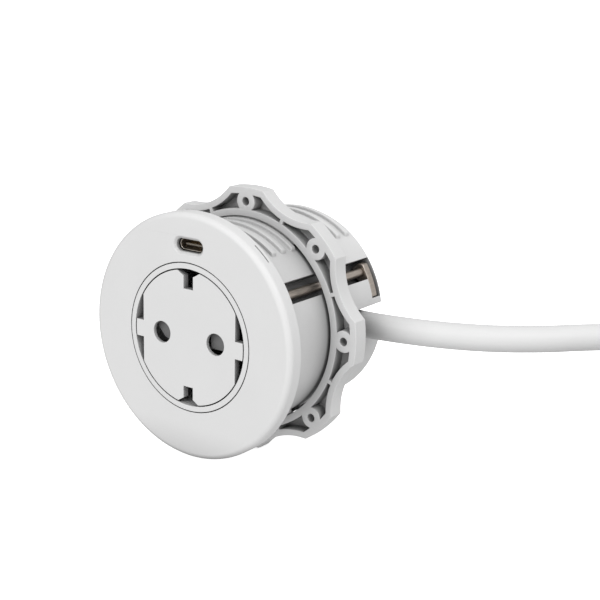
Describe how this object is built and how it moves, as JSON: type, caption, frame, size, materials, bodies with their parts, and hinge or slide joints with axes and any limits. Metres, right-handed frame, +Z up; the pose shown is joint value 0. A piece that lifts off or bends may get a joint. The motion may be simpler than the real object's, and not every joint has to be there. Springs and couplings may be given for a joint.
{
  "type": "built-in power socket",
  "caption": "Round flush-mount power socket with a push-in socket floor, a USB-C port, a ribbed body, a lobed lock ring, clamp screws and a mains cord with plug.",
  "frame": {"origin": "below the middle of the body's length, at the height of the lock ring's lowest lobe, where the part stands; the cord, its coil and the plug aren't counted", "axes": "+Y into the panel along the body's axis, +Z up with the USB-C port on top, +X to the right seen from the front"},
  "size_m": [0.2597, 0.1358, 0.0769],
  "materials": {
    "shell_plastic": "fine satin moulded, light grey-white",
    "ring_plastic": "satin moulded, light grey",
    "inner_plastic": "satin moulded grey",
    "shutter_plastic": "satin moulded grey",
    "brass": "drawn",
    "spring_steel": "drawn wire and strip",
    "zinc_steel": "zinc plated",
    "usb_steel": "stamped",
    "usb_plastic": "moulded black",
    "board": "solder resist",
    "electronics": "tape and plastic",
    "can": "sleeved can",
    "brown_wire": "wire insulation",
    "blue_wire": "wire insulation",
    "earth_wire": "wire insulation",
    "red_wire": "wire insulation",
    "cord_jacket": "smooth light grey sheath",
    "plug_plastic": "moulded light grey",
    "nickel": "nickel plated",
    "tie": "soft plastic band"
  },
  "bodies": {
    "housing": {"housing": "shell_plastic", "rear_cover": "shell_plastic", "rear_cover_screws": "zinc_steel", "socket_well": "shell_plastic", "socket_well_screws": "zinc_steel", "contact_carrier": "inner_plastic", "line_contact": "brass", "neutral_contact": "brass", "terminal_screws": "zinc_steel", "earth_clip": "nickel", "floor_springs": "spring_steel", "usb_shell": "usb_steel", "usb_tongue": "usb_plastic", "usb_board": "board", "charger_board": "board", "charger_board_screws": "zinc_steel", "transformer": "electronics", "capacitors": "can", "line_wire": "brown_wire", "neutral_wire": "blue_wire", "earth_wire": "earth_wire", "charger_leads": "brown_wire", "usb_leads": "red_wire", "cord_grommet": "cord_jacket", "cord_clamp": "inner_plastic", "cord_clamp_screws": "zinc_steel", "cord": "cord_jacket", "cord_coil": "cord_jacket", "cord_tail": "cord_jacket", "cord_tie": "tie", "plug_strain_relief": "cord_jacket", "plug_body": "plug_plastic", "plug_pins": "nickel", "plug_earth_contacts": "nickel"},
    "trim_ring": {"trim_ring": "shell_plastic"},
    "sliding_floor": {"sliding_floor": "shell_plastic", "shutter_spring": "spring_steel"},
    "pin_shutter": {"pin_shutter": "shutter_plastic"},
    "lock_ring": {"lock_ring": "ring_plastic"},
    "clamp_screw_right": {"clamp_screw_right": "zinc_steel"},
    "clamp_screw_left": {"clamp_screw_left": "zinc_steel"},
    "clamp_claw_right": {"clamp_claw_right": "zinc_steel"},
    "clamp_claw_left": {"clamp_claw_left": "zinc_steel"}
  },
  "joints": [
    {"name": "floor_press", "type": "slide", "parent": "housing", "child": "sliding_floor", "axis": [0, 1, 0], "range_m": [0, 0.0175], "stiffness_N_per_m": 450, "springref_m": -0.006, "deforming": ["floor_springs"]},
    {"name": "shutter_slide", "type": "slide", "parent": "sliding_floor", "child": "pin_shutter", "axis": [0, 0, 1], "range_m": [0, 0.0057], "stiffness_N_per_m": 80, "springref_m": -0.003, "deforming": ["shutter_spring"]},
    {"name": "ring_turn", "type": "hinge", "parent": "housing", "child": "lock_ring", "pos_m": [0, 0.0006, 0.03845], "axis": [0, -1, 0], "range_deg": [0, 90]},
    {"name": "claw_swing_right", "type": "hinge", "parent": "housing", "child": "clamp_claw_right", "pos_m": [0.0233, 0.0236, 0.05169], "axis": [0, -1, 0], "range_deg": [0, 90]},
    {"name": "claw_swing_left", "type": "hinge", "parent": "housing", "child": "clamp_claw_left", "pos_m": [-0.0233, 0.0236, 0.02521], "axis": [0, -1, 0], "range_deg": [0, 90]},
    {"name": "clamp_turn_right", "type": "hinge", "parent": "housing", "child": "clamp_screw_right", "pos_m": [0.0233, -0.0238, 0.05169], "axis": [0, 1, 0], "continuous": true},
    {"name": "clamp_turn_left", "type": "hinge", "parent": "housing", "child": "clamp_screw_left", "pos_m": [-0.0233, -0.0238, 0.02521], "axis": [0, 1, 0], "continuous": true},
    {"name": "trim_unclip", "type": "slide", "parent": "housing", "child": "trim_ring", "axis": [0, -1, 0], "range_m": [0, 0.012]}
  ]
}
